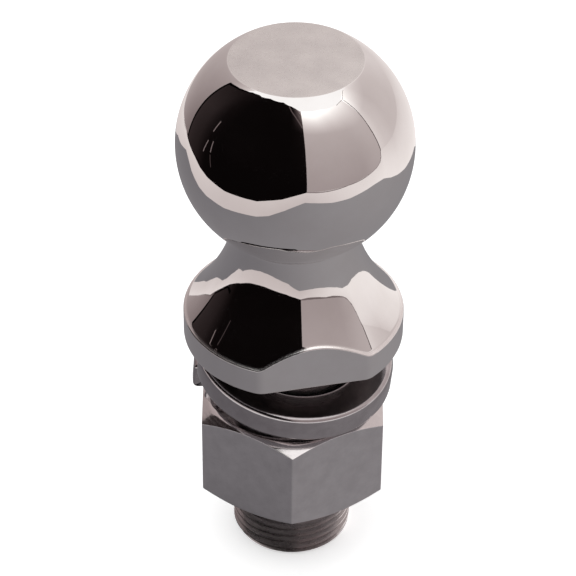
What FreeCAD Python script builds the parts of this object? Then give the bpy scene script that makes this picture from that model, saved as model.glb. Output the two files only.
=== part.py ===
import FreeCAD, Part
import math
import os
import Sketcher

V = FreeCAD.Vector

# Driving sizes in millimetres and degrees. Heights count from the seat, which is the
# underside of the flange. Turns count about the stud's axis, from +X towards +Y.
SIZES = {
    # ball
    "ball_diameter": 47.625,
    "ball_centre_height": 47.25,
    "ball_flat_depth": 4.11,
    # neck and flared flange
    "neck_diameter": 25.3,
    "neck_round": 1.5,
    "flare_radius": 42.0,
    "flange_diameter": 45.8,
    "flange_rim_height": 5.9,
    "flange_edge_round": 0.6,
    "flange_foot_chamfer": 0.6,
    # two spanner flats milled into the flange
    "spanner_flats_depth": 3.1,
    "spanner_flats_turn": 13.0,
    "spanner_corner_round": 3.5,
    # shank
    "shank_diameter": 25.4,
    "shank_length": 53.975,
    "shank_end_chamfer": 1.6,
    # split spring washer, which leans on the nut and against the shank
    "washer_diameter": 42.0,
    "washer_thickness": 6.35,
    "washer_bore_clearance": 0.5,
    "washer_edge_chamfer": 0.5,
    "washer_coil_rise": 6.6,
    "washer_split_angle": 6.0,
    "washer_split_turn": 188.0,
    "washer_lean": 8.2,
    "washer_lean_turn": 122.0,
    "washer_lean_shift": 0.85,
    "washer_flange_gap": 2.2,
    # hexagon nut
    "nut_across_flats": 38.1,
    "nut_height": 22.2,
    "nut_face_diameter": 36.9,
    "nut_chamfer_angle": 30.0,
    "nut_bore_clearance": 0.05,
    "nut_bore_chamfer": 1.2,
    "nut_washer_gap": 0.1,
}

START, END, CENTRE = range(1, 4)
AXIS_X, AXIS_Y = range(-1, -3, -1)
UP = V(0, 0, 1)


def write_sheet(doc):
    sheet = doc.addObject("Spreadsheet::Sheet", "sizes")
    for row, (name, value) in enumerate(SIZES.items(), start=1):
        sheet.set(f"A{row}", name)
        sheet.set(f"B{row}", str(value))
        sheet.setAlias(f"B{row}", name)
    doc.recompute()
    return sheet


def new_body(doc, label):
    body = doc.addObject("PartDesign::Body", label)
    body.Label = label
    return body


def new_sketch(body, name, role):
    """Put an empty sketch on one of the body's own origin planes."""
    sketch = body.newObject("Sketcher::SketchObject", name)
    plane = next(f for f in body.Origin.OriginFeatures if f.Role == role)
    sketch.AttachmentSupport = [(plane, "")]
    sketch.MapMode = "FlatFace"
    return sketch


def new_feature(body, kind, name, sketch):
    feature = body.newObject(f"PartDesign::{kind}", name)
    feature.Profile = sketch
    return feature


def bind(sketch, name, formula, *constraint):
    """Add one dimension and tie it to the sheet."""
    index = sketch.addConstraint(Sketcher.Constraint(*constraint))
    sketch.renameConstraint(index, name)
    sketch.setExpression(f"Constraints.{name}", formula)


def line(sketch, start, end):
    return sketch.addGeometry(Part.LineSegment(V(*start, 0), V(*end, 0)))


def chain(sketch, points):
    """Join points with lines, round to the first one again."""
    sides = [line(sketch, a, b) for a, b in zip(points, points[1:] + points[:1])]
    for side, after in zip(sides, sides[1:] + sides[:1]):
        meet(sketch, (side, END, after, START))
    return sides


def bearing(start, end):
    """Give the direction from one point to another, from 0 to a full turn."""
    return math.atan2(end.y - start.y, end.x - start.x) % math.tau


def arc(sketch, centre, radius, first, last):
    """Draw an arc that runs anticlockwise between two directions in radians."""
    circle = Part.Circle(V(centre.x, centre.y, 0), UP, radius)
    return sketch.addGeometry(Part.ArcOfCircle(circle, first, last))


def meet(sketch, *corners):
    """Make two ends one point, for each (geometry, end, geometry, end)."""
    for corner in corners:
        sketch.addConstraint(Sketcher.Constraint("Coincident", *corner))


def blend(sketch, *joints):
    """Make two ends one point with one direction."""
    for joint in joints:
        sketch.addConstraint(Sketcher.Constraint("Tangent", *joint))


def upright(sketch, *lines):
    for index in lines:
        sketch.addConstraint(Sketcher.Constraint("Vertical", index))


def level(sketch, *lines):
    for index in lines:
        sketch.addConstraint(Sketcher.Constraint("Horizontal", index))


def on_axis(sketch, axis, *points):
    for index, end in points:
        sketch.addConstraint(Sketcher.Constraint("PointOnObject", index, end, axis))


def neck_centre(size):
    """Find the centre of the round that joins the ball's underside to the flare."""
    out = size.neck_diameter / 2 + size.neck_round
    reach = size.ball_diameter / 2 + size.neck_round
    return V(out, size.ball_centre_height - math.sqrt(reach**2 - out**2), 0)


def flare_centre(size, neck):
    """Find the centre of the flare, from the neck's round down to the rim's corner."""
    rim = V(size.flange_diameter / 2, size.flange_rim_height, 0)
    to_neck = size.flare_radius - size.neck_round
    to_rim = size.flare_radius
    span = rim - neck
    along = (to_neck**2 - to_rim**2 + span.Length**2) / (2 * span.Length)
    aside = math.sqrt(to_neck**2 - along**2)
    direction = V(span).normalize()
    outward = V(-direction.y, direction.x, 0)
    return neck + direction * along + outward * aside


def stud_outline(body, size):
    """Draw half of the stud's section: ball, neck, trumpet flare, rim and shank."""
    sketch = new_sketch(body, "stud_outline", "XZ_Plane")
    ball = size.ball_diameter / 2
    centre = V(0, size.ball_centre_height, 0)
    flat_height = ball - size.ball_flat_depth
    lip = centre + V(math.sqrt(ball**2 - flat_height**2), flat_height, 0)
    neck = neck_centre(size)
    flare = flare_centre(size, neck)
    rim = V(size.flange_diameter / 2, size.flange_rim_height, 0)
    shank = size.shank_diameter / 2
    bottom = -size.shank_length
    chamfer = size.shank_end_chamfer

    top_flat = line(sketch, (0, lip.y), (lip.x, lip.y))
    sphere = arc(sketch, centre, ball, bearing(centre, neck) - math.tau, bearing(centre, lip))
    throat = arc(sketch, neck, size.neck_round, bearing(neck, centre), bearing(flare, neck))
    trumpet = arc(sketch, flare, size.flare_radius, bearing(flare, neck), bearing(flare, rim))
    rim_side = line(sketch, (rim.x, rim.y), (rim.x, 0))
    seat = line(sketch, (rim.x, 0), (shank, 0))
    shank_side = line(sketch, (shank, 0), (shank, bottom + chamfer))
    end_chamfer = line(sketch, (shank, bottom + chamfer), (shank - chamfer, bottom))
    end_face = line(sketch, (shank - chamfer, bottom), (0, bottom))
    middle = line(sketch, (0, bottom), (0, lip.y))

    blend(sketch, (sphere, START, throat, START), (throat, END, trumpet, START))
    meet(sketch, (top_flat, END, sphere, END),
         (trumpet, END, rim_side, START), (rim_side, END, seat, START),
         (seat, END, shank_side, START), (shank_side, END, end_chamfer, START),
         (end_chamfer, END, end_face, START), (end_face, END, middle, START),
         (middle, END, top_flat, START))
    level(sketch, top_flat, seat, end_face)
    upright(sketch, rim_side, shank_side)
    on_axis(sketch, AXIS_Y, (top_flat, START), (sphere, CENTRE), (end_face, END))
    on_axis(sketch, AXIS_X, (seat, END))

    bind(sketch, "ball_radius", "sizes.ball_diameter / 2", "Radius", sphere, ball)
    bind(sketch, "ball_centre", "sizes.ball_centre_height",
         "DistanceY", AXIS_X, START, sphere, CENTRE, centre.y)
    bind(sketch, "flat_height", "sizes.ball_diameter / 2 - sizes.ball_flat_depth",
         "DistanceY", sphere, CENTRE, top_flat, START, flat_height)
    bind(sketch, "neck_round", "sizes.neck_round", "Radius", throat, size.neck_round)
    bind(sketch, "neck_radius", "sizes.neck_diameter / 2 + sizes.neck_round",
         "DistanceX", AXIS_X, START, throat, CENTRE, neck.x)
    bind(sketch, "flare_radius", "sizes.flare_radius", "Radius", trumpet, size.flare_radius)
    bind(sketch, "rim_radius", "sizes.flange_diameter / 2",
         "DistanceX", AXIS_X, START, rim_side, START, rim.x)
    bind(sketch, "rim_height", "sizes.flange_rim_height",
         "DistanceY", AXIS_X, START, rim_side, START, rim.y)
    bind(sketch, "shank_radius", "sizes.shank_diameter / 2",
         "DistanceX", AXIS_X, START, shank_side, START, shank)
    bind(sketch, "shank_length", "sizes.shank_length",
         "DistanceY", end_face, END, AXIS_X, START, size.shank_length)
    bind(sketch, "chamfer_width", "sizes.shank_end_chamfer",
         "DistanceX", end_chamfer, END, end_chamfer, START, chamfer)
    bind(sketch, "chamfer_height", "sizes.shank_end_chamfer",
         "DistanceY", end_chamfer, END, end_chamfer, START, chamfer)
    return sketch


def flat_block(body, size):
    """Draw the block that a milling cutter takes off the near side of the flange."""
    sketch = new_sketch(body, "flat_block", "XY_Plane")
    sketch.setExpression("AttachmentOffset.Rotation.Angle", "sizes.spanner_flats_turn * 1 deg")
    reach = size.flange_diameter
    half = size.flange_diameter / 2 - size.spanner_flats_depth
    outer, right, inner, left = chain(sketch, [(-reach, -reach), (reach, -reach),
                                               (reach, -half), (-reach, -half)])
    level(sketch, outer)
    upright(sketch, right, left)
    sketch.addConstraint(
        Sketcher.Constraint("Symmetric", inner, START, inner, END, AXIS_Y, 0))
    bind(sketch, "flat", "sizes.flange_diameter / 2 - sizes.spanner_flats_depth",
         "DistanceY", inner, START, AXIS_X, START, half)
    bind(sketch, "outer", "sizes.flange_diameter",
         "DistanceY", outer, START, AXIS_X, START, reach)
    bind(sketch, "right", "sizes.flange_diameter",
         "DistanceX", AXIS_X, START, outer, END, reach)
    return sketch


def ease_edges(body, kind, name, sheet_size, points):
    """Round or chamfer the edge of the body that lies nearest to each point."""
    base = body.Tip
    edges = base.Shape.Edges
    spots = [Part.Vertex(point) for point in points]
    nearest = [min(range(len(edges)), key=lambda i: edges[i].distToShape(spot)[0])
               for spot in spots]
    feature = body.newObject(f"PartDesign::{kind}", name)
    feature.Base = (base, [f"Edge{i + 1}" for i in nearest])
    feature.setExpression({"Fillet": "Radius", "Chamfer": "Size"}[kind], f"sizes.{sheet_size}")
    body.Document.recompute()


def make_ball_stud(doc, size):
    """Ball, neck, flange and shank are one forging, turned and then milled."""
    body = new_body(doc, "ball_stud")
    outline = stud_outline(body, size)
    turned = new_feature(body, "Revolution", "turned_stud", outline)
    turned.ReferenceAxis = (outline, ["V_Axis"])
    turned.Angle = 360

    block = flat_block(body, size)
    flat = new_feature(body, "Pocket", "near_flat", block)
    flat.Reversed = True
    flat.Length = size.ball_centre_height / 2
    flat.setExpression("Length", "sizes.ball_centre_height / 2")
    both = body.newObject("PartDesign::PolarPattern", "both_flats")
    both.Originals = [flat]
    both.Axis = (block, ["N_Axis"])
    both.Angle = 360
    both.Occurrences = 2
    body.Tip = both
    doc.recompute()

    rim = size.flange_diameter / 2
    half = rim - size.spanner_flats_depth
    along = math.sqrt(rim**2 - half**2)
    turn = FreeCAD.Rotation(UP, size.spanner_flats_turn)
    corners = [turn.multVec(V(x, y, size.flange_rim_height / 2))
               for x in (-along, along) for y in (-half, half)]
    ease_edges(body, "Fillet", "spanner_corners", "spanner_corner_round", corners)
    ease_edges(body, "Chamfer", "flange_foot", "flange_foot_chamfer",
               [turn.multVec(V(0, -half, 0))])
    ease_edges(body, "Fillet", "flange_edge", "flange_edge_round",
               [turn.multVec(V(rim, 0, size.flange_rim_height))])
    return body


def washer_section(body, size):
    """Draw the coil's section, with its four edges broken."""
    sketch = new_sketch(body, "washer_section", "XZ_Plane")
    inner = size.shank_diameter / 2 + size.washer_bore_clearance
    outer = size.washer_diameter / 2
    thick = size.washer_thickness
    cut = size.washer_edge_chamfer
    bottom, low_outer, side, high_outer, top, high_inner, bore, low_inner = chain(sketch, [
        (inner + cut, 0), (outer - cut, 0), (outer, cut), (outer, thick - cut),
        (outer - cut, thick), (inner + cut, thick), (inner, thick - cut), (inner, cut)])
    level(sketch, bottom, top)
    upright(sketch, side, bore)
    on_axis(sketch, AXIS_X, (bottom, START))
    bind(sketch, "bore_radius", "sizes.shank_diameter / 2 + sizes.washer_bore_clearance",
         "DistanceX", AXIS_X, START, bore, START, inner)
    bind(sketch, "outer_radius", "sizes.washer_diameter / 2",
         "DistanceX", AXIS_X, START, side, START, outer)
    bind(sketch, "thickness", "sizes.washer_thickness",
         "DistanceY", bottom, START, top, END, thick)
    broken = (("low_outer", low_outer, START, END, START, END),
              ("high_outer", high_outer, END, START, START, END),
              ("high_inner", high_inner, END, START, END, START),
              ("low_inner", low_inner, START, END, END, START))
    for name, edge, left, right, low, high in broken:
        bind(sketch, f"{name}_width", "sizes.washer_edge_chamfer",
             "DistanceX", edge, left, edge, right, cut)
        bind(sketch, f"{name}_height", "sizes.washer_edge_chamfer",
             "DistanceY", edge, low, edge, high, cut)
    return sketch


def make_lock_washer(doc, size):
    """A left-hand coil of a little under one turn, leaning until it meets the shank."""
    body = new_body(doc, "lock_washer")
    section = washer_section(body, size)
    coil = new_feature(body, "AdditiveHelix", "washer_coil", section)
    coil.ReferenceAxis = (section, ["V_Axis"])
    coil.Mode = "pitch-turns-angle"
    coil.LeftHanded = True
    coil.Pitch = size.washer_coil_rise
    coil.setExpression("Pitch", "sizes.washer_coil_rise")
    coil.Turns = 1 - size.washer_split_angle / 360
    coil.setExpression("Turns", "1 - sizes.washer_split_angle / 360")
    doc.recompute()

    lean_turn = math.radians(size.washer_lean_turn)
    uphill = V(math.cos(lean_turn), math.sin(lean_turn), 0)
    split = FreeCAD.Rotation(UP, size.washer_split_turn)
    lean = FreeCAD.Rotation(uphill.cross(UP), size.washer_lean)
    body.Placement = FreeCAD.Placement(uphill * size.washer_lean_shift, lean * split)
    doc.recompute()
    top = body.Shape.optimalBoundingBox().ZMax
    body.Placement.Base.z = -size.washer_flange_gap - top
    doc.recompute()
    return body


def hexagon(body, size):
    """Draw the hexagon with a corner on the -Y side."""
    sketch = new_sketch(body, "nut_hexagon", "XY_Plane")
    radius = size.nut_across_flats / math.sqrt(3)
    ring = sketch.addGeometry(Part.Circle(V(0, 0, 0), UP, radius), True)
    turns = [math.radians(60 * i - 90) for i in range(6)]
    sides = chain(sketch, [(radius * math.cos(a), radius * math.sin(a)) for a in turns])
    meet(sketch, (ring, CENTRE, AXIS_X, START))
    on_axis(sketch, AXIS_Y, (sides[0], START))
    for side in sides:
        on_axis(sketch, ring, (side, START))
    for side in sides[1:]:
        sketch.addConstraint(Sketcher.Constraint("Equal", sides[0], side))
    bind(sketch, "corner_radius", "sizes.nut_across_flats / sqrt(3)", "Radius", ring, radius)
    return sketch


def chamfer_outline(body, size, name, height, down):
    """Draw the wedge that a turning tool takes off the six corners at one end."""
    sketch = new_sketch(body, name, "XZ_Plane")
    face = size.nut_face_diameter / 2
    # the corners lie 0.577 of the width across flats from the axis
    reach = 0.6 * size.nut_across_flats
    fall = (reach - face) * math.tan(math.radians(size.nut_chamfer_angle))
    end, outside, slope = chain(sketch, [(face, height), (reach, height),
                                         (reach, height - down * fall)])
    level(sketch, end)
    upright(sketch, outside)
    bind(sketch, "face_radius", "sizes.nut_face_diameter / 2",
         "DistanceX", AXIS_X, START, end, START, face)
    bind(sketch, "reach", "0.6 * sizes.nut_across_flats",
         "DistanceX", AXIS_X, START, end, END, reach)
    fall_formula = ("(0.6 * sizes.nut_across_flats - sizes.nut_face_diameter / 2)"
                    " * tan(sizes.nut_chamfer_angle * 1 deg)")
    if down > 0:
        bind(sketch, "height", "sizes.nut_height", "DistanceY", AXIS_X, START, end, START, height)
        bind(sketch, "fall", fall_formula, "DistanceY", slope, START, slope, END, fall)
    else:
        on_axis(sketch, AXIS_X, (end, START))
        bind(sketch, "fall", fall_formula, "DistanceY", slope, END, slope, START, fall)
    return sketch


def bore_outline(body, size):
    """Draw half of the bore's section, with a countersink at each end."""
    sketch = new_sketch(body, "nut_bore", "XZ_Plane")
    bore = size.shank_diameter / 2 + size.nut_bore_clearance
    sink = size.nut_bore_chamfer
    height = size.nut_height
    bottom, low_sink, wall, high_sink, top, middle = chain(sketch, [
        (0, 0), (bore + sink, 0), (bore, sink), (bore, height - sink),
        (bore + sink, height), (0, height)])
    level(sketch, bottom, top)
    upright(sketch, wall, middle)
    meet(sketch, (bottom, START, AXIS_X, START))
    bind(sketch, "bore_radius", "sizes.shank_diameter / 2 + sizes.nut_bore_clearance",
         "DistanceX", AXIS_X, START, wall, START, bore)
    bind(sketch, "height", "sizes.nut_height", "DistanceY", AXIS_X, START, top, END, height)
    for name, edge, inner, outer in (("low", low_sink, END, START),
                                     ("high", high_sink, START, END)):
        bind(sketch, f"{name}_sink_width", "sizes.nut_bore_chamfer",
             "DistanceX", edge, inner, edge, outer, sink)
        bind(sketch, f"{name}_sink_height", "sizes.nut_bore_chamfer",
             "DistanceY", edge, START, edge, END, sink)
    return sketch


def turn_away(body, name, sketch):
    """Cut a sketch out of the body all the way round its upright axis."""
    groove = new_feature(body, "Groove", name, sketch)
    groove.ReferenceAxis = (sketch, ["V_Axis"])
    groove.Angle = 360


def make_hex_nut(doc, size, washer_bottom):
    """A hexagon bar, turned at both ends and bored."""
    body = new_body(doc, "hex_nut")
    bar = new_feature(body, "Pad", "nut_bar", hexagon(body, size))
    bar.Length = size.nut_height
    bar.setExpression("Length", "sizes.nut_height")
    doc.recompute()
    turn_away(body, "top_chamfer",
              chamfer_outline(body, size, "top_wedge", size.nut_height, 1))
    turn_away(body, "bottom_chamfer", chamfer_outline(body, size, "bottom_wedge", 0, -1))
    turn_away(body, "bore", bore_outline(body, size))
    body.Placement.Base.z = washer_bottom - size.nut_washer_gap - size.nut_height
    doc.recompute()
    return body


def check(doc, bodies):
    broken = [o.Name for o in doc.Objects if {"Invalid", "Error"} & set(o.State)]
    if broken:
        raise RuntimeError(f"failed objects: {broken}")
    for body in bodies:
        if body.Shape.isNull() or not body.Shape.isValid():
            raise RuntimeError(f"{body.Label} has no valid shape")


def main():
    doc = FreeCAD.newDocument("tow_ball")
    size = write_sheet(doc)
    stud = make_ball_stud(doc, size)
    washer = make_lock_washer(doc, size)
    nut = make_hex_nut(doc, size, washer.Shape.optimalBoundingBox().ZMin)
    doc.recompute()
    bodies = [stud, washer, nut]
    check(doc, bodies)
    os.makedirs("parts", exist_ok=True)
    for body in bodies:
        body.Shape.exportStep(f"parts/{body.Label}.step")
        box = body.Shape.optimalBoundingBox()
        print(f"{body.Label}: {body.Shape.Volume:.0f} mm3, z {box.ZMin:.2f} to {box.ZMax:.2f}")


main()
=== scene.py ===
import math

import bmesh
import bpy
import numpy as np
from mathutils import Matrix, Vector


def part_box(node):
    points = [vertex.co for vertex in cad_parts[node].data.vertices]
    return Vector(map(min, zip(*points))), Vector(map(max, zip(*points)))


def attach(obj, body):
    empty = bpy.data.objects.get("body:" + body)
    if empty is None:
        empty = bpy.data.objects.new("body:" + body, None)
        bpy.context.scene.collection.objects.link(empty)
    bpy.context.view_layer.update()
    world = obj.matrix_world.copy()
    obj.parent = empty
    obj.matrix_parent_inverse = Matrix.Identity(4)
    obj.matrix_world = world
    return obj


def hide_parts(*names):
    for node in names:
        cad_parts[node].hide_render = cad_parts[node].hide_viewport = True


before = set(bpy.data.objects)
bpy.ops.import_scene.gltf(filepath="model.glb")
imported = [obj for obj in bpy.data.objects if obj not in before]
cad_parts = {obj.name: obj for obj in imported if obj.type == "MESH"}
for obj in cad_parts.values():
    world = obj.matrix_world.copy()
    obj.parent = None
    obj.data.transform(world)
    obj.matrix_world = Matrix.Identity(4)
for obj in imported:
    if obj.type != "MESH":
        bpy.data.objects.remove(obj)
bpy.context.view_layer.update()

# Lengths are in metres, written as millimetres times MM. Heights count from the seat under
# the flange. Turns are in degrees about the stud's axis, from +X towards +Y, and azimuths
# count from -Y, where the camera stands, towards +X.
MM = 0.001

stud_low, stud_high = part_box("ball_stud")
washer_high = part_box("lock_washer")[1]
nut_low, nut_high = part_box("hex_nut")

# ball, neck and flared flange
BALL = 23.8125 * MM
FLAT_DEPTH = 4.11 * MM
BALL_CENTRE = stud_high.z + FLAT_DEPTH - BALL
FLAT_ROUND = 0.35 * MM
NECK = 12.65 * MM
NECK_ROUND = 1.5 * MM
FLARE = 42.0 * MM
RIM = 22.9 * MM
RIM_HEIGHT = 5.9 * MM
RIM_EDGE_ROUND = 0.45 * MM
RIM_EDGE_LEAN = 64.0
RIM_LAND = 0.4 * MM
RIM_FOOT_ROUND = 0.8 * MM
SPANNER_HALF = RIM - 3.1 * MM
SPANNER_TURN = 13.0
SPANNER_CORNER_ROUND = 3.5 * MM

# shank and its 1-14 right-hand thread
SHANK = 12.7 * MM
SHANK_CHAMFER = 1.6 * MM
THREAD_PITCH = 25.4 / 14 * MM
THREAD_DEPTH = 0.6134 * THREAD_PITCH
THREAD_TOP = -12.7 * MM
THREAD_RUN_OUT = 1.5 * THREAD_PITCH
# shares of the way from the middle of a crest to the middle of the next root
THREAD_CREST = 0.125
THREAD_FLANK = 0.625

# split washer
WASHER = 21.0 * MM
WASHER_BORE = SHANK + 0.5 * MM
WASHER_THICK = 6.35 * MM
WASHER_ROUND = 1.3 * MM
WASHER_END_ROUND = 0.5 * MM
WASHER_RISE = 6.6 * MM
WASHER_SPLIT = 6.0
WASHER_SPLIT_TURN = 188.0
WASHER_LEAN = 8.2
WASHER_LEAN_TURN = 122.0
WASHER_LEAN_SHIFT = 0.85 * MM

# nut
NUT_HALF = 19.05 * MM
NUT_FACE = 18.45 * MM
NUT_CHAMFER = 30.0
NUT_CORNER_ROUND = 0.35 * MM
NUT_EDGE_ROUND = 0.12 * MM
NUT_FACE_ROUND = 0.12 * MM
NUT_BORE = SHANK + 0.05 * MM
NUT_SINK = 1.2 * MM

# how finely the curved pieces are divided
STUD_COLUMNS = 480
FLARE_ROWS = 44
BALL_ROWS = 96
THREAD_COLUMNS = 128
WASHER_ROWS = 240
SHARP_ANGLE = math.radians(40)
WELD_DISTANCE = 0.0005 * MM

# camera, with its angles in degrees and its lens for a sensor 36 mm wide
CAMERA_DIP = 38.144
CAMERA_ROLL = 0.485
CAMERA_LENS = 159.59
CAMERA_DISTANCE = 527.5 * MM
CAMERA_TARGET = Vector((-1.191 * MM, 0, BALL_CENTRE - 36.468 * MM))


# Mesh helpers

def arc_points(centre, radius, first, last, steps):
    """Give (r, z) along an arc between two angles in radians, ends included."""
    return [(centre[0] + radius * np.cos(a), centre[1] + radius * np.sin(a))
            for a in (first + (last - first) * k / steps for k in range(steps + 1))]


def turned(profile, turns):
    """Sweep (r, z) rows round the axis. Each r and z is one number or one for each turn."""
    rows = np.empty((len(profile), len(turns), 3))
    for row, (r, z) in zip(rows, profile):
        row[:, 0] = r * np.cos(turns)
        row[:, 1] = r * np.sin(turns)
        row[:, 2] = z
    return rows


def piece_from_rows(name, rows, materials, bands=None, wrap=True):
    """Make a mesh of quads between rows of points. bands gives each band's material.

    It is smooth but for sharp edges, such as the thread's.
    """
    count, columns = rows.shape[:2]
    index = np.arange(count * columns).reshape(count, columns)
    if wrap:
        index = np.hstack([index, index[:, :1]])
    quads = np.stack([index[:-1, :-1], index[:-1, 1:], index[1:, 1:], index[1:, :-1]], -1)
    mesh = bpy.data.meshes.new(name)
    mesh.from_pydata(rows.reshape(-1, 3).tolist(), [], quads.reshape(-1, 4).tolist())
    for material in materials:
        mesh.materials.append(material)
    if bands is not None:
        mesh.polygons.foreach_set("material_index", np.repeat(bands, quads.shape[1]))
    made = bmesh.new()
    made.from_mesh(mesh)
    bmesh.ops.remove_doubles(made, verts=made.verts, dist=WELD_DISTANCE)
    bmesh.ops.recalc_face_normals(made, faces=made.faces)
    for face in made.faces:
        face.smooth = True
    for edge in made.edges:
        edge.smooth = edge.calc_face_angle(0) < SHARP_ANGLE
    made.to_mesh(mesh)
    made.free()
    piece = bpy.data.objects.new(name, mesh)
    bpy.context.scene.collection.objects.link(piece)
    return piece


def dress(piece, body, node):
    """Let a piece stand for a solid and ride with it."""
    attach(piece, body)
    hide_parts(node)


# Materials

def new_material(name):
    """Make a material. Gives it with its nodes, its links and its surface node."""
    material = bpy.data.materials.new(name)
    material.use_nodes = True
    nodes = material.node_tree.nodes
    return material, nodes, material.node_tree.links, nodes["Principled BSDF"]


def surface_noise(nodes, links, stretch, scale, detail=4.0, roughness=0.55):
    """Noise over the piece in millimetres, drawn out along an axis by stretch."""
    place = nodes.new("ShaderNodeTexCoord")
    mapping = nodes.new("ShaderNodeMapping")
    mapping.inputs["Scale"].default_value = [s / MM for s in stretch]
    noise = nodes.new("ShaderNodeTexNoise")
    noise.inputs["Scale"].default_value = scale
    noise.inputs["Detail"].default_value = detail
    noise.inputs["Roughness"].default_value = roughness
    links.new(place.outputs["Object"], mapping.inputs["Vector"])
    links.new(mapping.outputs["Vector"], noise.inputs["Vector"])
    return noise.outputs["Fac"]


def spread(nodes, links, value, low, high, span=(0.3, 0.7)):
    """Turn noise into a value between low and high."""
    ranged = nodes.new("ShaderNodeMapRange")
    ranged.inputs["From Min"].default_value = span[0]
    ranged.inputs["From Max"].default_value = span[1]
    ranged.inputs["To Min"].default_value = low
    ranged.inputs["To Max"].default_value = high
    links.new(value, ranged.inputs["Value"])
    return ranged.outputs["Result"]


def shade(nodes, links, value, dark, light):
    """Turn noise into a colour between two."""
    ramp = nodes.new("ShaderNodeValToRGB")
    ramp.color_ramp.elements[0].position = 0.35
    ramp.color_ramp.elements[0].color = (*dark, 1)
    ramp.color_ramp.elements[1].position = 0.65
    ramp.color_ramp.elements[1].color = (*light, 1)
    links.new(value, ramp.inputs["Fac"])
    return ramp.outputs["Color"]


def bump(nodes, links, height, distance, strength, under=None):
    """Turn noise into a slight relief, on top of another one if it is given."""
    node = nodes.new("ShaderNodeBump")
    node.inputs["Distance"].default_value = distance
    node.inputs["Strength"].default_value = strength
    links.new(height, node.inputs["Height"])
    if under is not None:
        links.new(under, node.inputs["Normal"])
    return node.outputs["Normal"]


def polished_chrome():
    """Mirror plate with faint smears and polishing haze."""
    material, nodes, links, shader = new_material("polished_chrome")
    shader.inputs["Metallic"].default_value = 1.0
    smears = surface_noise(nodes, links, (1, 1, 1), 0.12, 5.0)
    links.new(shade(nodes, links, smears, (0.84, 0.82, 0.81), (0.88, 0.865, 0.86)),
              shader.inputs["Base Color"])
    links.new(spread(nodes, links, smears, 0.01, 0.035), shader.inputs["Roughness"])
    ripple = surface_noise(nodes, links, (1, 1, 1), 0.35, 2.0)
    links.new(bump(nodes, links, ripple, 0.01 * MM, 0.25), shader.inputs["Normal"])
    return material


def ground_flat():
    """The ball's top flat: plated over a ground face, so it is satin."""
    material, nodes, links, shader = new_material("ground_flat")
    shader.inputs["Metallic"].default_value = 1.0
    grain = surface_noise(nodes, links, (1, 1, 1), 1.6, 8.0, 0.7)
    clouds = surface_noise(nodes, links, (1, 1, 1), 0.15, 3.0)
    links.new(shade(nodes, links, clouds, (0.66, 0.635, 0.625), (0.74, 0.715, 0.7)),
              shader.inputs["Base Color"])
    links.new(spread(nodes, links, grain, 0.24, 0.36), shader.inputs["Roughness"])
    links.new(bump(nodes, links, grain, 0.02 * MM, 0.35), shader.inputs["Normal"])
    return material


def satin_steel(name, dark, light, rough, lines):
    """Plated steel: mottled, with fine drawn or rolled lines across one axis."""
    material, nodes, links, shader = new_material(name)
    shader.inputs["Metallic"].default_value = 1.0
    mottle = surface_noise(nodes, links, (1, 1, 1), 0.3, 6.0, 0.65)
    drawn = surface_noise(nodes, links, lines, 1.0, 6.0, 0.6)
    pits = surface_noise(nodes, links, (1, 1, 1), 2.5, 4.0)
    links.new(shade(nodes, links, mottle, dark, light), shader.inputs["Base Color"])
    links.new(spread(nodes, links, drawn, rough - 0.06, rough + 0.06),
              shader.inputs["Roughness"])
    under = bump(nodes, links, pits, 0.015 * MM, 0.3)
    links.new(bump(nodes, links, drawn, 0.01 * MM, 0.3, under), shader.inputs["Normal"])
    return material


def ring_noise(nodes, links, fineness):
    """Noise that depends on the distance from the axis and the height, as tool marks do."""
    place = nodes.new("ShaderNodeTexCoord")
    level = nodes.new("ShaderNodeVectorMath")
    level.operation = "MULTIPLY"
    level.inputs[1].default_value = (1, 1, 0)
    away = nodes.new("ShaderNodeVectorMath")
    away.operation = "LENGTH"
    parts = nodes.new("ShaderNodeSeparateXYZ")
    both = nodes.new("ShaderNodeCombineXYZ")
    noise = nodes.new("ShaderNodeTexNoise")
    noise.inputs["Scale"].default_value = fineness / MM
    noise.inputs["Detail"].default_value = 3.0
    links.new(place.outputs["Object"], level.inputs[0])
    links.new(level.outputs["Vector"], away.inputs[0])
    links.new(place.outputs["Object"], parts.inputs["Vector"])
    links.new(away.outputs["Value"], both.inputs["X"])
    links.new(parts.outputs["Z"], both.inputs["Y"])
    links.new(both.outputs["Vector"], noise.inputs["Vector"])
    return noise.outputs["Fac"]


def turned_steel(name, dark, light, rough):
    """Plated steel off the lathe: smoother than a rolled face, with fine rings round the axis."""
    material, nodes, links, shader = new_material(name)
    shader.inputs["Metallic"].default_value = 1.0
    rings = ring_noise(nodes, links, 3.0)
    mottle = surface_noise(nodes, links, (1, 1, 1), 0.3, 5.0, 0.6)
    links.new(shade(nodes, links, mottle, dark, light), shader.inputs["Base Color"])
    links.new(spread(nodes, links, rings, rough - 0.04, rough + 0.04),
              shader.inputs["Roughness"])
    links.new(bump(nodes, links, rings, 0.005 * MM, 0.2), shader.inputs["Normal"])
    return material


# Ball stud

def neck_centre():
    """Centre of the round between the ball's underside and the flare, as (r, z)."""
    out = NECK + NECK_ROUND
    return out, BALL_CENTRE - math.sqrt((BALL + NECK_ROUND)**2 - out**2)


def flare_centre(neck):
    """Centre of the flare's arc, from the neck's round down to the rim's corner."""
    to_neck = FLARE - NECK_ROUND
    across, down = RIM - neck[0], RIM_HEIGHT - neck[1]
    length = math.hypot(across, down)
    along = (to_neck**2 - FLARE**2 + length**2) / (2 * length)
    aside = math.sqrt(to_neck**2 - along**2)
    return (neck[0] + (across * along - down * aside) / length,
            neck[1] + (down * along + across * aside) / length)


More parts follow.
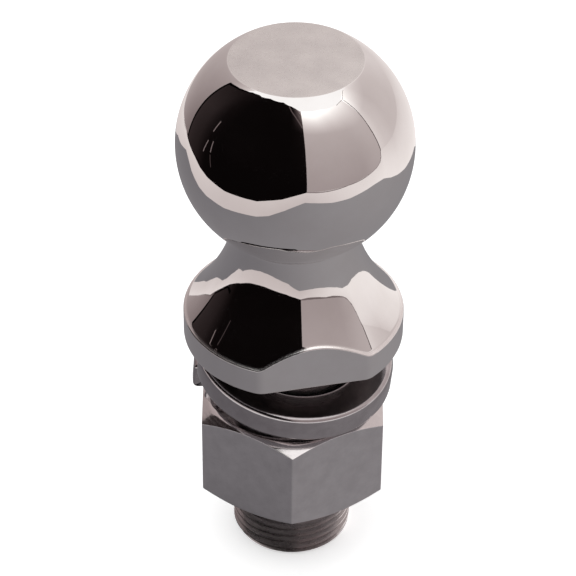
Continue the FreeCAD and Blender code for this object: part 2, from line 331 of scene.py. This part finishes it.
def flange_side(turns):
    """Distance of the flange's side from the axis: the rim, two flats and soft corners."""
    from_flat = (turns - math.radians(SPANNER_TURN) + math.pi) % math.pi - math.pi / 2
    away = np.abs(from_flat)
    out = SPANNER_HALF - SPANNER_CORNER_ROUND
    centre = RIM - SPANNER_CORNER_ROUND
    side = math.sqrt(centre**2 - out**2)
    corner = math.atan2(side, out)
    inside = np.clip(centre * np.sin(corner - away), -SPANNER_CORNER_ROUND, SPANNER_CORNER_ROUND)
    rounded = centre * np.cos(corner - away) + np.sqrt(SPANNER_CORNER_ROUND**2 - inside**2)
    flat = SPANNER_HALF / np.cos(np.minimum(away, corner))
    return np.where(away < math.atan2(side, SPANNER_HALF), flat,
                    np.where(away < corner, rounded, RIM))


# places of the stud's materials in its list
CHROME, FLAT, SEAT, EDGE = range(4)


def rim_rows(side, edge_r, edge_z, lean):
    """Rows of (r, z) up the flange's side, from its foot round to its edge round."""
    rows = arc_points((side - RIM_FOOT_ROUND, RIM_FOOT_ROUND), RIM_FOOT_ROUND,
                      -math.pi / 2, 0.0, 6)
    for share in (0.1, 0.5, 0.9):
        rows.append((side, RIM_FOOT_ROUND + (edge_z - RIM_FOOT_ROUND) * share))
    return rows + arc_points((edge_r, edge_z), RIM_EDGE_ROUND, 0.0, lean, 8)


def flare_rows(flare, first, last):
    """Rows of (r, z) along the flare, from the land on the rim up to the neck's round."""
    angles = [first + (last - first) * share for share in np.linspace(0.004, 1.0, FLARE_ROWS)]
    return [(flare[0] + FLARE * np.cos(a), flare[1] + FLARE * np.sin(a)) for a in angles]


def ball_rows(underside):
    """Rows of (r, z) up the ball, then those of its top flat."""
    flat_height = BALL - FLAT_DEPTH
    lip_r = math.sqrt((BALL - FLAT_ROUND)**2 - (flat_height - FLAT_ROUND)**2)
    lip = (lip_r, BALL_CENTRE + flat_height - FLAT_ROUND)
    lip_angle = math.atan2(flat_height - FLAT_ROUND, lip_r)
    ball = arc_points((0, BALL_CENTRE), BALL, underside, lip_angle, BALL_ROWS)[1:]
    ball += arc_points(lip, FLAT_ROUND, lip_angle, math.pi / 2, 5)[1:]
    return ball, [(lip_r * share, stud_high.z) for share in (0.97, 0.9, 0.5, 0.0)]


def stud_profile(turns):
    """Rows of (r, z) from the seat up over the flange, flare and ball to the flat.

    Also gives which material each band between two rows has.
    """
    side = flange_side(turns)
    neck = neck_centre()
    flare = flare_centre(neck)
    lean = math.radians(RIM_EDGE_LEAN)
    edge_r = side - RIM_EDGE_ROUND
    flare_r = edge_r + RIM_EDGE_ROUND * math.cos(lean) - RIM_LAND * math.sin(lean)
    flare_z = flare[1] - np.sqrt(FLARE**2 - (flare[0] - flare_r)**2)
    edge_z = flare_z - RIM_EDGE_ROUND * math.sin(lean) - RIM_LAND * math.cos(lean)
    flare_start = np.arctan2(flare_z - flare[1], flare_r - flare[0])
    flare_end = math.atan2(neck[1] - flare[1], neck[0] - flare[0])
    underside = math.atan2(neck[1] - BALL_CENTRE, neck[0])
    throat_end = math.atan2(BALL_CENTRE - neck[1], -neck[0]) - math.tau

    rows = [(SHANK - 1.0 * MM, 0.0), (side - 2 * RIM_FOOT_ROUND, 0.0)]
    seat = len(rows) - 1
    rows += rim_rows(side, edge_r, edge_z, lean)
    rim_edge = len(rows) - 1
    rows += flare_rows(flare, flare_start, flare_end)
    rows += arc_points(neck, NECK_ROUND, flare_end, throat_end, 10)[1:]
    ball, top = ball_rows(underside)
    rows += ball
    flat = len(rows) - 1
    rows += top
    materials = np.full(len(rows) - 1, CHROME)
    # the seat under the flange, in a dark steel whose darkness is painted shade
    materials[:seat] = SEAT
    # the rim's edge round, in a steel paler than the chrome as a painted highlight line
    materials[rim_edge - 2:rim_edge + 1] = EDGE
    materials[flat:] = FLAT
    return rows, materials


def make_ball_stud(materials):
    """The ball, neck, flare and flange, in one turned piece."""
    turns = np.linspace(0, math.tau, STUD_COLUMNS, endpoint=False)
    profile, bands = stud_profile(turns)
    ball = piece_from_rows("ball_and_flange", turned(profile, turns), materials, bands)
    dress(ball, "stud", "ball_stud")


def thread_depth(turns, heights):
    """How deep the thread is cut, from 0 on the crest to 1 at the root."""
    phase = (heights / THREAD_PITCH - turns / math.tau) % 1.0
    from_crest = 1 - np.abs(phase - 0.5) * 2
    return np.clip((from_crest - THREAD_CREST) / THREAD_FLANK, 0, 1)


def helical_rows(low, high):
    """Turns and heights of rows that climb with the thread, held between two heights."""
    turns = np.linspace(0, math.tau, THREAD_COLUMNS + 1)
    steps = np.array([0.0, 0.0625, 0.17, 0.275, 0.375, 0.5, 0.625, 0.725, 0.83, 0.9375])
    first = math.floor(low / THREAD_PITCH) - 1
    last = math.ceil(high / THREAD_PITCH) + 1
    starts = np.concatenate([k + steps for k in range(first, last)])
    heights = THREAD_PITCH * (starts[:, None] + turns[None, :] / math.tau)
    return np.broadcast_to(turns, heights.shape), np.clip(heights, low, high)


def make_shank(steel):
    """The shank below the flange: plain, then threaded, then chamfered at its end."""
    thread_start = THREAD_TOP + THREAD_PITCH
    turns, heights = helical_rows(stud_low.z, thread_start)
    fade = np.clip((THREAD_TOP - heights) / THREAD_RUN_OUT, 0, 1)
    radii = SHANK - THREAD_DEPTH * thread_depth(turns, heights) * fade
    end = SHANK - SHANK_CHAMFER
    radii = np.minimum(radii, end + (heights - stud_low.z))
    rows = np.stack([radii * np.cos(turns), radii * np.sin(turns), heights], -1)
    cap = turned([(0.0, stud_low.z), (end * 0.95, stud_low.z)], turns[0])
    plain = turned([(SHANK, thread_start), (SHANK, 0.1 * MM)], turns[0])
    shank = piece_from_rows("threaded_shank", np.concatenate([cap, rows, plain]), [steel],
                            wrap=False)
    dress(shank, "stud", "ball_stud")


# Split washer

def washer_section(inset):
    """Points round the coil's section, with its corners rounded and its outline drawn in."""
    inner, outer = WASHER_BORE + inset, WASHER - inset
    low, high = inset, WASHER_THICK - inset
    corner = max(WASHER_ROUND - inset, 0.1 * MM)
    points = []
    for centre, first in (((outer - corner, low + corner), -90),
                          ((outer - corner, high - corner), 0),
                          ((inner + corner, high - corner), 90),
                          ((inner + corner, low + corner), 180)):
        points += arc_points(centre, corner, math.radians(first), math.radians(first + 90), 6)
    return np.array(points)


def coil_steps():
    """Shares of a turn along the coil, each with how far the section is drawn in there."""
    turn = 1 - WASHER_SPLIT / 360
    bite = WASHER_END_ROUND / (math.tau * WASHER)
    ends = [(0.0, 1.0), (0.15 * bite, 0.5), (0.5 * bite, 0.15), (bite, 0.0)]
    steps = [(t, WASHER_END_ROUND * share) for t, share in ends]
    steps += [(t, 0.0) for t in np.linspace(2 * bite, turn - 2 * bite, WASHER_ROWS)]
    return steps + [(turn - t, WASHER_END_ROUND * share) for t, share in reversed(ends)]


def coil_rows():
    """Rows of points round an upright left-hand coil, closed at both ends."""
    rows = []
    for t, inset in coil_steps():
        out, up = washer_section(inset).T
        angle = -math.tau * t
        rows.append(np.stack([out * math.cos(angle), out * math.sin(angle),
                              up + WASHER_RISE * t], -1))
    rows = np.array(rows)
    middle = rows.mean(axis=1, keepdims=True).repeat(rows.shape[1], axis=1)
    return np.concatenate([middle[:1], rows, middle[-1:]])


def make_washer(steel):
    """The CAD washer's own coil: left-hand, just under one turn, leaning on the shank."""
    uphill = Vector((math.cos(math.radians(WASHER_LEAN_TURN)),
                     math.sin(math.radians(WASHER_LEAN_TURN)), 0))
    split = Matrix.Rotation(math.radians(WASHER_SPLIT_TURN), 3, "Z")
    lean = Matrix.Rotation(math.radians(WASHER_LEAN), 3, uphill.cross(Vector((0, 0, 1))))
    rows = coil_rows() @ np.array(lean @ split).T + np.array(uphill * WASHER_LEAN_SHIFT)
    rows[..., 2] += washer_high.z - rows[..., 2].max()
    washer = piece_from_rows("split_washer", rows, [steel])
    dress(washer, "washer", "lock_washer")


# Nut

def nut_turns():
    """Turns round the nut, crowded at its six corners."""
    face = np.linspace(-28.6, 28.6, 13)
    corner = np.linspace(29.0, 31.0, 9)
    return np.radians(np.concatenate([np.append(face, corner) + 60 * k for k in range(6)]))


def nut_side(turns):
    """Distance of the hexagon's side from the axis, with its corners a little rounded."""
    away = np.abs((turns + math.pi / 6) % (math.pi / 3) - math.pi / 6)
    centre = (NUT_HALF - NUT_CORNER_ROUND) / math.cos(math.pi / 6)
    miss = centre * np.sin(math.pi / 6 - away)
    inside = np.clip(miss, -NUT_CORNER_ROUND, NUT_CORNER_ROUND)
    rounded = centre * np.cos(math.pi / 6 - away) + np.sqrt(NUT_CORNER_ROUND**2 - inside**2)
    contact = math.atan2((NUT_HALF - NUT_CORNER_ROUND) * math.tan(math.pi / 6), NUT_HALF)
    return np.where(away < contact, NUT_HALF / np.cos(away), rounded)


def nut_half_profile(side, height):
    """Rows of (r, z) from the countersink's edge out and down to the middle of the side.

    Also gives how many of them lie on turned surfaces.
    """
    slope = math.radians(NUT_CHAMFER)
    edge_r = side - NUT_EDGE_ROUND
    edge_z = (height - (edge_r - NUT_FACE) * math.tan(slope)
              - NUT_EDGE_ROUND / math.cos(slope))
    rows = [(NUT_BORE + 0.02 * MM, height - NUT_SINK),
            (NUT_BORE + 0.9 * NUT_SINK, height - 0.1 * NUT_SINK),
            (NUT_BORE + 1.05 * NUT_SINK, height),
            (NUT_BORE + 1.4 * NUT_SINK, height),
            (NUT_FACE - 0.5 * MM, height),
            (NUT_FACE - NUT_FACE_ROUND, height),
            (NUT_FACE + NUT_FACE_ROUND, height - NUT_FACE_ROUND * math.tan(slope))]
    start_r = edge_r + NUT_EDGE_ROUND * math.sin(slope)
    start_z = edge_z + NUT_EDGE_ROUND * math.cos(slope)
    for share in (0.3, 0.7, 0.95):
        rows.append((NUT_FACE + (start_r - NUT_FACE) * share,
                     height + (start_z - height) * share))
    turned_bands = len(rows)
    rows += arc_points((edge_r, edge_z), NUT_EDGE_ROUND, math.pi / 2 - slope, 0.0, 6)
    rows += [(side, edge_z - 0.4 * MM), (side, edge_z * 0.5)]
    return rows, turned_bands


def make_nut(steel, turned_steel):
    """A hexagon nut standing about its own middle height, then moved to the CAD nut's."""
    turns = nut_turns()
    side = nut_side(turns)
    height = (nut_high.z - nut_low.z) / 2
    upper, turned_bands = nut_half_profile(side, height)
    lower = [(r, -z) for r, z in reversed(upper)]
    rows = turned(upper + lower, turns)
    rows[..., 2] += (nut_high.z + nut_low.z) / 2
    bands = np.zeros(len(rows) - 1, int)
    bands[:turned_bands] = 1
    bands[-turned_bands:] = 1
    nut = piece_from_rows("hexagon_nut", rows, [steel, turned_steel], bands)
    dress(nut, "nut", "hex_nut")


def make_nut_thread(steel):
    """The nut's thread, which lies in the grooves of the shank's own."""
    low, high = nut_low.z + NUT_SINK, nut_high.z - NUT_SINK
    turns, heights = helical_rows(low, high)
    ends = np.minimum(heights - low, high - heights)
    fade = np.clip(ends / (0.5 * THREAD_PITCH), 0, 1)
    clear = NUT_BORE - SHANK
    radii = NUT_BORE + clear - THREAD_DEPTH * thread_depth(turns, heights) * fade
    rows = np.stack([radii * np.cos(turns), radii * np.sin(turns), heights], -1)
    thread = piece_from_rows("nut_thread", rows, [steel], wrap=False)
    dress(thread, "nut", "hex_nut")


# Studio

# What the chrome gives back of the light it mirrors, and the gamma of the screen. The
# photograph's dark tones are redder than its bright ones.
PLATE = 0.86
SCREEN_GAMMA = 2.2
DARK_TINT = (1.0, 0.66, 0.67)
BRIGHT_TINT = (1.0, 0.96, 0.935)

# The room round the cards: a grey ground, from left to right, and a white sky.
ROOM_LEFT = (0.185, 0.175, 0.187, 1)
ROOM_RIGHT = (0.325, 0.308, 0.315, 1)
ROOM_SKY = (1.1, 1.08, 1.07, 1)

# How much the floor shines by itself to the camera, so that it is white round the shadow.
FLOOR_LIFT = 0.36

# The studio that the chrome mirrors: a pale skirt round the grey ground, and tall boards
# that stand on the skirt. Only reflections see it. Each point is an azimuth, a distance from
# the axis and a height above the ball's centre, the last two in millimetres.
TABLE_EDGE = [(-180, 190, -118), (-156, 180, -107), (-145, 180, -95), (-141, 180, -89),
              (-128, 180, -80), (-115, 180, -67), (-108, 140, -57), (-102, 106, -50),
              (-97, 90, -46), (-90, 74, -42), (-80, 62, -37), (-60, 54, -33.4),
              (-30, 54, -30.5), (-20, 58, -30), (-8, 72, -30.3), (8, 94, -28),
              (30, 86, -30), (45, 88, -31.5), (70, 106, -35.5), (80, 114, -40),
              (90, 106, -45), (100, 102, -49), (115, 106, -57), (130, 122, -69),
              (144, 122, -71), (156, 130, -84), (180, 150, -95)]
BOARD_FOOT = [(-117, 255, -67), (-100, 198, -57), (-90, 146, -47), (-80, 118, -41),
              (-60, 94, -35), (-30, 86, -29), (-10, 102, -26), (9.7, 134, -21),
              (45, 142, -25.5), (70, 180, -31), (75, 188, -30), (79, 190, -24),
              (81.5, 190, -12), (82, 190, 0), (100, 190, -6), (140, 200, 0), (180, 300, -10)]
BOARD_TOP = [(-117, 0, 176), (-104, 0, 208), (-93, 0, 210), (-74, 0, 196), (-50, 0, 211),
             (-38, 0, 218), (-13, 0, 242), (-1, 0, 262), (9.7, 0, 262), (45, 0, 235),
             (82, 0, 240), (180, 0, 330)]
WALL_FOOT = [(-180, 310, -140), (-150, 305, -108), (-143, 300, -99), (-133, 297, -85),
             (-121, 270, -66), (-96, 262, -66)]
WALL_TOP = [(-180, 0, 460), (-96, 0, 460)]
SKIRT_BACK = WALL_FOOT[:5] + BOARD_FOOT

# Brightness as the plate shows it, from 0 black to 1 white: for each azimuth the tone at
# the foot, halfway up and at the top of a board, or at the near and far edge of a sheet.
WALL_TONES = [(-180, 0.74, 0.78, 0.9), (-150, 0.64, 0.7, 0.8), (-117, 0.46, 0.64, 0.7),
              (-96, 0.46, 0.76, 0.9)]
BLACK_TONES = [(-117, 0.2, 0.2, 0.16), (-98, 0.14, 0.17, 0.12), (-84, 0.07, 0.09, 0.1),
               (-70, 0.065, 0.065, 0.07), (-6, 0.065, 0.065, 0.08), (4, 0.065, 0.08, 0.4),
               (9.7, 0.065, 0.1, 0.66)]
BEIGE_TONES = [(9.7, 0.61, 0.69, 1.2), (30, 0.61, 0.7, 1.25), (60, 0.61, 0.7, 1.05),
               (82, 0.68, 0.73, 0.95)]
RIGHT_TONES = [(82, 0.84, 0.85, 1.15), (90, 0.8, 0.78, 1.05), (105, 0.76, 0.74, 0.95),
               (125, 0.76, 0.78, 0.9), (150, 0.82, 0.84, 0.9), (180, 0.8, 0.8, 0.95)]
SKIRT_TONES = [(-180, 0.8, 0.88), (-110, 0.8, 0.86), (-60, 0.76, 0.78), (10, 0.76, 0.8),
               (50, 0.86, 0.87), (82, 0.92, 0.86), (100, 0.92, 0.8), (150, 0.92, 0.82),
               (180, 0.88, 0.8)]

# The table top round the shank, which the shank, the thread and the ball's underside mirror:
# dark at the front left, where the part shades it, and bright at the two sides.
TABLE = -101.2
TOP_NEAR = [(-180, 1, TABLE), (180, 1, TABLE)]
TOP_FAR = [(-180, 25, TABLE), (-105, 25, TABLE), (-104, 43, TABLE), (-94, 43, TABLE),
           (-77, 39, TABLE), (-61, 35, TABLE), (-44, 32, TABLE), (-26, 29.5, TABLE),
           (-8, 28, TABLE), (2, 27, TABLE), (8, 24, TABLE), (180, 25, TABLE)]
TOP_TONES = [(-180, 0.4, 0.42), (-128, 0.5, 0.42), (-122, 1.6, 0.6), (-113, 1.6, 0.5),
             (-105, 0.06, 0.04), (-60, 0.06, 0.04), (-20, 0.22, 0.04), (4, 0.3, 0.06),
             (9, 0.35, 0.46), (50, 0.6, 0.46), (66, 1.0, 0.5), (76, 1.8, 0.6), (98, 1.8, 0.6),
             (122, 1.5, 0.6), (134, 0.5, 0.44), (180, 0.4, 0.42)]
SHEETS = [("skirt", TABLE_EDGE, SKIRT_BACK, SKIRT_TONES),
          ("table_top", TOP_NEAR, TOP_FAR, TOP_TONES)]
BOARDS = [("wall_left", WALL_FOOT, WALL_TOP, WALL_TONES),
          ("board_black", BOARD_FOOT, BOARD_TOP, BLACK_TONES),
          ("board_beige", BOARD_FOOT, BOARD_TOP, BEIGE_TONES),
          ("board_right", BOARD_FOOT, BOARD_TOP, RIGHT_TONES)]

# Thin dark joints, painted shadow lines along the feet of the wall and boards, thin pale rods and
# faint wisps seen in the mirror: name, tone, width in millimetres, then points of azimuth,
# distance and height.
STRIPS = [
    ("joint_right", 0.25, 2.4, [(78.5, 187, -27), (81, 188, -14), (82.2, 188, 4),
                                (81.2, 188, 60), (83, 188, 150), (84, 188, 222)]),
    ("joint_shelf", 0.4, 3.0, [(70, 180, 236), (84, 186, 226), (100, 186, 240)]),
    # painted shadow along the foot of the wall
    ("wall_foot_shadow", 0.36, 7.0, [(-150, 300, -112), (-143, 294, -103), (-133, 290, -88),
                               (-121, 264, -69), (-117, 252, -64)]),
    ("edge_black", 0.03, 10.0, [(-116, 249, -60), (-116, 249, 166), (-104, 209, 199),
                                (-94, 164, 203), (-84, 127, 197)]),
    # painted shadow along the foot of the black board
    ("foot_black", 0.04, 3.0, [(-116, 250, -62), (-100, 195, -54), (-92, 152, -40)]),
    # painted shadow along the foot of the beige board
    ("beige_foot_shadow", 0.42, 1.8, [(9.7, 133, -21), (45, 141, -25.5), (70, 179, -31),
                                (75, 187, -29.5), (79, 189, -23.5)]),
    ("rod_upper", 0.45, 1.8, [(-82.6, 116, 50), (-83.6, 118, 28)]),
    ("rod_middle", 0.45, 1.8, [(-84.5, 122, 12), (-86.8, 126, -10)]),
    ("rod_short", 0.45, 1.6, [(-78.4, 110, 17), (-77.6, 108, 1)]),
    ("rod_foot", 0.26, 1.4, [(-77.4, 108, -2), (-74.5, 106, -17)]),
    ("wisp_long", 0.34, 4.0, [(-15, 96, 232), (-7, 104, 199), (2, 118, 175), (9, 130, 142)]),
    ("wisp_short", 0.3, 4.0, [(-6, 106, 226), (1, 117, 240), (9, 130, 206)]),
]


def studio_points(edge, azimuths):
    """Points of a studio edge, straight between its corners, at each azimuth."""
    at, distances, heights = (np.array(column, float) for column in zip(*edge))
    away = np.interp(azimuths, at, distances) * MM
    up = np.interp(azimuths, at, heights) * MM + BALL_CENTRE
    angle = np.radians(azimuths)
    return np.stack([away * np.sin(angle), -away * np.cos(angle), up], -1)


def plate_light(level):
    """The light that makes the chrome show a level of grey, a little warm as in the photo."""
    light = level**SCREEN_GAMMA / PLATE
    shown = min(level, 1)
    return [light * (dark + (bright - dark) * shown)
            for dark, bright in zip(DARK_TINT, BRIGHT_TINT)]


def glow(name):
    """Light of the colour that the card's own points carry."""
    material = bpy.data.materials.new(name)
    material.use_nodes = True
    nodes, links = material.node_tree.nodes, material.node_tree.links
    nodes.clear()
    tone = nodes.new("ShaderNodeVertexColor")
    tone.layer_name = "tone"
    light = nodes.new("ShaderNodeEmission")
    output = nodes.new("ShaderNodeOutputMaterial")
    links.new(tone.outputs["Color"], light.inputs["Color"])
    links.new(light.outputs["Emission"], output.inputs["Surface"])
    return material


def studio_card(name, rows, levels, material):
    """A card that only reflections see, with a level of grey at each of its points."""
    flat = rows.reshape(-1, 3)
    card = bpy.data.objects.new(name, bpy.data.meshes.new(name))
    index = np.arange(len(flat)).reshape(rows.shape[:2])
    quads = np.stack([index[:-1, :-1], index[:-1, 1:], index[1:, 1:], index[1:, :-1]], -1)
    card.data.from_pydata(flat.tolist(), [], quads.reshape(-1, 4).tolist())
    card.data.materials.append(material)
    layer = card.data.color_attributes.new("tone", "FLOAT_COLOR", "POINT")
    for value, level in zip(layer.data, levels.reshape(-1)):
        value.color = (*plate_light(level), 1)
    bpy.context.scene.collection.objects.link(card)
    card.visible_camera = False
    card.visible_diffuse = False
    card.visible_transmission = False
    card.visible_shadow = False


def make_board(name, foot_edge, top_edge, tones, material):
    """A tall board. tones are its levels at the foot, halfway up and at the top."""
    at, *stops = (np.array(column, float) for column in zip(*tones))
    azimuths = np.linspace(at[0], at[-1], 2 + int(at[-1] - at[0]))
    foot = studio_points(foot_edge, azimuths)
    top = foot.copy()
    top[:, 2] = studio_points(top_edge, azimuths)[:, 2]
    shares = np.linspace(0, 1, 15)
    rows = np.stack([foot + (top - foot) * share for share in shares])
    across = np.stack([np.interp(azimuths, at, stop) for stop in stops])
    levels = np.stack([[np.interp(share, (0, 0.5, 1), column) for column in across.T]
                       for share in shares])
    studio_card(name, rows, levels, material)


def make_sheet(name, near_edge, far_edge, tones, material):
    """A flat or sloping sheet. tones are its levels at the near and far edge."""
    at, near, far = (np.array(column, float) for column in zip(*tones))
    azimuths = np.linspace(at[0], at[-1], 1 + int(at[-1] - at[0]))
    rows = np.stack([studio_points(near_edge, azimuths), studio_points(far_edge, azimuths)])
    levels = np.stack([np.interp(azimuths, at, near), np.interp(azimuths, at, far)])
    studio_card(name, rows, levels, material)


def make_strip(name, tone, width, points, material):
    """A thin strip along a line of studio points, just in front of the boards."""
    line = np.concatenate([studio_points([point], [point[0]]) for point in points])
    along = np.gradient(line, axis=0)
    outward = line * (1, 1, 0)
    side = np.cross(along, outward)
    side *= width * MM / 2 / np.linalg.norm(side, axis=1, keepdims=True)
    rows = np.stack([line - side, line + side])
    studio_card(name, rows, np.full(rows.shape[:2], tone), material)


def make_studio():
    """All the cards that the metal mirrors."""
    material = glow("studio_glow")
    for name, near, far, tones in SHEETS:
        make_sheet(name, near, far, tones, material)
    for name, foot, top, tones in BOARDS:
        make_board(name, foot, top, tones, material)
    for name, tone, width, points in STRIPS:
        make_strip(name, tone, width, points, material)


def mixed(nodes, links, share, first, second):
    """Mix two colours. Each is a colour or another node's output."""
    mix = nodes.new("ShaderNodeMix")
    mix.data_type = "RGBA"
    links.new(share, mix.inputs["Factor"])
    for name, colour in (("A", first), ("B", second)):
        if isinstance(colour, tuple):
            mix.inputs[name].default_value = colour
        else:
            links.new(colour, mix.inputs[name])
    return mix.outputs["Result"]


def room_colour(nodes, links):
    """Grey below the horizon, darker on the left, and white above it."""
    direction = nodes.new("ShaderNodeTexCoord")
    parts = nodes.new("ShaderNodeSeparateXYZ")
    links.new(direction.outputs["Generated"], parts.inputs["Vector"])
    sideways = spread(nodes, links, parts.outputs["X"], 0, 1, (-1.0, 1.0))
    rise = spread(nodes, links, parts.outputs["Z"], 0, 1, (-0.01, 0.1))
    greys = mixed(nodes, links, sideways, ROOM_LEFT, ROOM_RIGHT)
    return mixed(nodes, links, rise, greys, ROOM_SKY)


def make_world():
    """White to the eye and for soft light. Reflections see the room instead."""
    world = bpy.data.worlds.new("studio")
    bpy.context.scene.world = world
    world.use_nodes = True
    nodes, links = world.node_tree.nodes, world.node_tree.links
    nodes.clear()
    plain = nodes.new("ShaderNodeBackground")
    plain.inputs["Color"].default_value = (1, 1, 1, 1)
    room = nodes.new("ShaderNodeBackground")
    links.new(room_colour(nodes, links), room.inputs["Color"])
    path = nodes.new("ShaderNodeLightPath")
    mix = nodes.new("ShaderNodeMixShader")
    output = nodes.new("ShaderNodeOutputWorld")
    links.new(path.outputs["Is Glossy Ray"], mix.inputs["Fac"])
    links.new(plain.outputs["Background"], mix.inputs[1])
    links.new(room.outputs["Background"], mix.inputs[2])
    links.new(mix.outputs["Shader"], output.inputs["Surface"])


def make_floor():
    """A pale floor under the shank's end. Metal sees the studio instead of it."""
    material, nodes, links, shader = new_material("floor_paper")
    shader.inputs["Base Color"].default_value = (0.93, 0.93, 0.93, 1)
    shader.inputs["Roughness"].default_value = 0.9
    shader.inputs["Specular IOR Level"].default_value = 0.0
    shader.inputs["Emission Color"].default_value = (1, 1, 1, 1)
    path = nodes.new("ShaderNodeLightPath")
    lift = nodes.new("ShaderNodeMath")
    lift.operation = "MULTIPLY"
    lift.inputs[1].default_value = FLOOR_LIFT
    links.new(path.outputs["Is Camera Ray"], lift.inputs[0])
    links.new(lift.outputs["Value"], shader.inputs["Emission Strength"])
    fibres = surface_noise(nodes, links, (1, 1, 1), 0.8, 6.0)
    links.new(bump(nodes, links, fibres, 0.05 * MM, 0.1), shader.inputs["Normal"])
    reach = 6.0
    corners = np.array([[(-reach, -reach, stud_low.z), (reach, -reach, stud_low.z)],
                        [(-reach, reach, stud_low.z), (reach, reach, stud_low.z)]])
    floor = piece_from_rows("floor", corners, [material], wrap=False)
    floor.visible_glossy = False


def make_lamp():
    """One large soft lamp above and to the left."""
    light = bpy.data.lights.new("soft_lamp", "AREA")
    light.shape = "DISK"
    light.size = 0.9
    light.energy = 1.2
    lamp = bpy.data.objects.new("soft_lamp", light)
    bpy.context.scene.collection.objects.link(lamp)
    lamp.location = (-0.5, -0.5, 1.1)
    lamp.rotation_mode = "QUATERNION"
    lamp.rotation_quaternion = (-lamp.location).to_track_quat("-Z", "Y")
    lamp.visible_glossy = False


def make_camera():
    """The photograph's camera, fitted to the ball, flange, nut and shank."""
    dip = math.radians(CAMERA_DIP)
    roll = math.radians(CAMERA_ROLL)
    back = Vector((0, -math.cos(dip), math.sin(dip)))
    right = Vector((1, 0, 0))
    up = back.cross(right)
    across = right * math.cos(roll) + up * math.sin(roll)
    upward = up * math.cos(roll) - right * math.sin(roll)
    data = bpy.data.cameras.new("camera")
    data.sensor_width = 36.0
    data.lens = CAMERA_LENS
    data.clip_start = 0.02
    data.clip_end = 20.0
    camera = bpy.data.objects.new("camera", data)
    bpy.context.scene.collection.objects.link(camera)
    turn = Matrix((across, upward, back)).transposed()
    place = CAMERA_TARGET + back * CAMERA_DISTANCE
    camera.matrix_world = Matrix.Translation(place) @ turn.to_4x4()
    bpy.context.scene.camera = camera


def make_part():
    """The five pieces, each in its own metal."""
    chrome = polished_chrome()
    flat = ground_flat()
    # Painted shade: the seat under the flange is a dark steel, so that the washer's top mirrors
    # shade there.
    seat = turned_steel("shaded_seat_steel", (0.22, 0.2, 0.2), (0.27, 0.25, 0.24), 0.35)
    # Painted highlight: the band on the rim's edge has a paler colour than the chrome, and is
    # rougher so that it also catches the sky, so it shows a pale line all along the rim.
    edge = turned_steel("rim_highlight_band", (0.94, 0.92, 0.91), (0.98, 0.96, 0.95), 0.2)
    make_ball_stud([chrome, flat, seat, edge])
    make_shank(satin_steel("shank_steel", (0.44, 0.41, 0.41), (0.5, 0.47, 0.47), 0.28,
                           (0.3, 0.3, 3.0)))
    make_washer(satin_steel("washer_steel", (0.48, 0.45, 0.46), (0.56, 0.53, 0.54), 0.12,
                            (0.3, 0.3, 4.0)))
    rolled = satin_steel("nut_steel", (0.64, 0.62, 0.63), (0.72, 0.7, 0.71), 0.36,
                         (0.25, 0.25, 2.5))
    lathed = turned_steel("nut_turned_steel", (0.78, 0.75, 0.75), (0.86, 0.83, 0.83), 0.11)
    make_nut(rolled, lathed)
    make_nut_thread(rolled)


def main():
    make_camera()
    make_part()
    make_studio()
    make_world()
    make_floor()
    make_lamp()
    bpy.context.scene.view_settings.view_transform = "Standard"


main()
